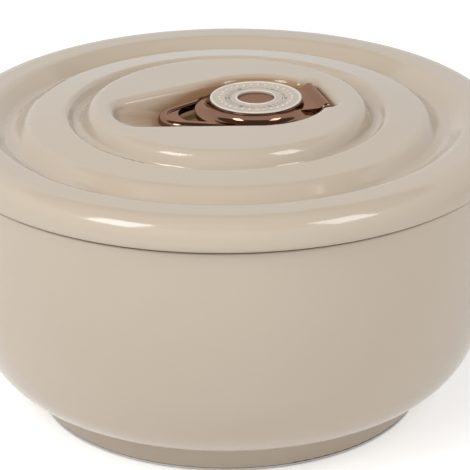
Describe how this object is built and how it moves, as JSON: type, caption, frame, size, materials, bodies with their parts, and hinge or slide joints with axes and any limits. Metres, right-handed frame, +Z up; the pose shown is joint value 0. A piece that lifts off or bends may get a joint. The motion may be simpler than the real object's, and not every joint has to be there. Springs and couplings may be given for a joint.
{
  "type": "insulated serving casserole",
  "caption": "Round double-walled insulated serving bowl with steel liner and a grooved lift-off lid that carries a flip-up vent lever and a turning date dial.",
  "frame": {"origin": "centre of the face that the casserole rests on, on the axis of the bowl", "axes": "+Z is up along the axis of bowl and lid; +X points along the vent lever from its finger loop to its hinge; +Y follows by the right-hand rule"},
  "size_m": [0.21, 0.21, 0.1169],
  "materials": {
    "shell_plastic": "smooth glossy warm beige moulded polypropylene",
    "inner_plastic": "satin off-white food-grade polypropylene",
    "liner_steel": "spun satin stainless steel",
    "insulation_foam": "poured rigid foam",
    "seal_silicone": "soft translucent white silicone",
    "pin_steel": "ground stainless steel",
    "rose_plating": "bright rose-gold plating on moulded plastic",
    "dial_plastic": "satin pale grey plastic with raised pips"
  },
  "bodies": {
    "bowl": {"outer_bowl": "shell_plastic", "bowl_liner": "liner_steel", "bowl_insulation": "insulation_foam", "liner_gasket": "seal_silicone", "base_cover": "shell_plastic", "foam_fill_plug": "shell_plastic", "foot_grip_ring": "seal_silicone"},
    "lid": {"lid_cover": "shell_plastic", "inner_lid": "inner_plastic", "lid_insulation": "insulation_foam", "lid_seal": "seal_silicone", "vent_sleeve": "inner_plastic", "vent_upper_gasket": "seal_silicone", "vent_lower_gasket": "seal_silicone", "vent_sleeve_clip": "inner_plastic", "lever_hinge_pin": "pin_steel"},
    "lever": {"vent_lever": "rose_plating", "vent_plug": "seal_silicone", "dial_friction_ring": "seal_silicone", "dial_cap": "rose_plating"},
    "dial": {"date_dial": "dial_plastic"}
  },
  "joints": [
    {"name": "lid_lift", "type": "slide", "parent": "bowl", "child": "lid", "axis": [0, 0, 1], "range_m": [0, 0.12]},
    {"name": "lever_flip", "type": "hinge", "parent": "lid", "child": "lever", "pos_m": [0.03515, 0, 0.1133], "axis": [0, 1, 0], "range_deg": [0, 85]},
    {"name": "dial_turn", "type": "hinge", "parent": "lever", "child": "dial", "pos_m": [0.01115, 0, 0.115], "axis": [0, 0, 1], "continuous": true}
  ]
}
